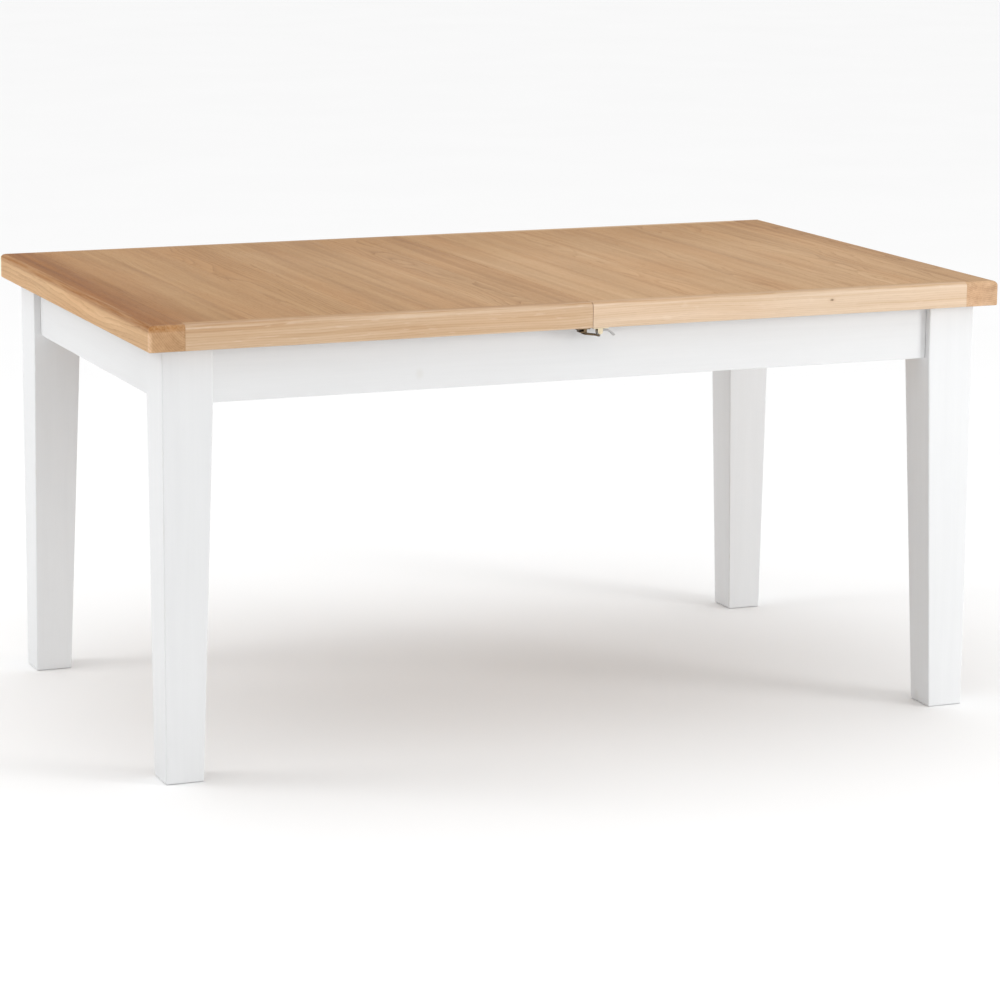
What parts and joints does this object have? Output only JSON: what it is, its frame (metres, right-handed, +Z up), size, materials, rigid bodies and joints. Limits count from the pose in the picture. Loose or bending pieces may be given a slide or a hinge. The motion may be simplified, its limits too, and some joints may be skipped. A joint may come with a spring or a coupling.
{
  "type": "extending dining table",
  "caption": "Painted table frame on tapered square legs with an oak top that slides apart at a middle seam to take a folding leaf.",
  "frame": {"origin": "on the floor under the centre of the closed table", "axes": "+X along the length to the right half of the top, +Y to the back, +Z up"},
  "size_m": [1.57, 0.95, 0.78],
  "materials": {
    "painted_wood": "white paint, satin",
    "oak_panel": "oak, clear satin lacquer, grain across the table",
    "oak_edge": "solid oak, clear satin lacquer",
    "beech": "plain hardwood, unfinished",
    "steel": "zinc-plated steel",
    "brass": "satin brass",
    "nylon": "moulded nylon"
  },
  "bodies": {
    "frame": {"apron_back": "painted_wood", "apron_front": "painted_wood", "apron_left": "painted_wood", "apron_right": "painted_wood", "corner_block_back_left": "beech", "corner_block_back_right": "beech", "corner_block_front_left": "beech", "corner_block_front_right": "beech", "corner_bolt_back_left": "steel", "corner_bolt_back_right": "steel", "corner_bolt_front_left": "steel", "corner_bolt_front_right": "steel", "cross_rail_left": "beech", "cross_rail_right": "beech", "foot_glide_back_left": "nylon", "foot_glide_back_right": "nylon", "foot_glide_front_left": "nylon", "foot_glide_front_right": "nylon", "leaf_half_lower": "oak_panel", "leaf_half_upper": "oak_panel", "leaf_hinge_left": "brass", "leaf_hinge_right": "brass", "leaf_pivot_bracket_left": "steel", "leaf_pivot_bracket_right": "steel", "leaf_pivot_pin_left": "steel", "leaf_pivot_pin_right": "steel", "leg_back_left": "painted_wood", "leg_back_right": "painted_wood", "leg_front_left": "painted_wood", "leg_front_right": "painted_wood", "slide_channel_back_left": "steel", "slide_channel_back_right": "steel", "slide_channel_front_left": "steel", "slide_channel_front_right": "steel"},
    "top_left": {"catch_keeper_back": "brass", "catch_keeper_front": "brass", "dowel_back": "beech", "dowel_front": "beech", "dowel_middle": "beech", "end_board_left": "oak_edge", "lipping_back_left": "oak_edge", "lipping_front_left": "oak_edge", "runner_back_left": "beech", "runner_front_left": "beech", "top_panel_left": "oak_panel"},
    "top_right": {"catch_base_back": "brass", "catch_base_front": "brass", "end_board_right": "oak_edge", "lipping_back_right": "oak_edge", "lipping_front_right": "oak_edge", "runner_back_right": "beech", "runner_front_right": "beech", "top_panel_right": "oak_panel"},
    "lever_front": {"catch_lever_front": "steel"},
    "loop_front": {"catch_loop_front": "brass"},
    "lever_back": {"catch_lever_back": "steel"},
    "loop_back": {"catch_loop_back": "brass"}
  },
  "joints": [
    {"name": "top_left_slide", "type": "slide", "parent": "frame", "child": "top_left", "axis": [-1, 0, 0], "range_m": [0, 0.25]},
    {"name": "top_right_slide", "type": "slide", "parent": "frame", "child": "top_right", "axis": [1, 0, 0], "range_m": [0, 0.25]},
    {"name": "lever_front_swing", "type": "hinge", "parent": "top_right", "child": "lever_front", "pos_m": [0.017, -0.462, 0.728], "axis": [0, 1, 0], "range_deg": [0, 90]},
    {"name": "loop_front_swing", "type": "hinge", "parent": "lever_front", "child": "loop_front", "pos_m": [0.015, -0.462, 0.722], "axis": [0, 1, 0], "range_deg": [-108, 0]},
    {"name": "lever_back_swing", "type": "hinge", "parent": "top_right", "child": "lever_back", "pos_m": [0.017, 0.462, 0.728], "axis": [0, 1, 0], "range_deg": [0, 90]},
    {"name": "loop_back_swing", "type": "hinge", "parent": "lever_back", "child": "loop_back", "pos_m": [0.015, 0.462, 0.722], "axis": [0, 1, 0], "range_deg": [-108, 0]}
  ],
  "couplings": [
    {"joint": "loop_front_swing", "follows": "lever_front_swing", "ratio": -1.18},
    {"joint": "loop_back_swing", "follows": "lever_back_swing", "ratio": -1.18}
  ]
}
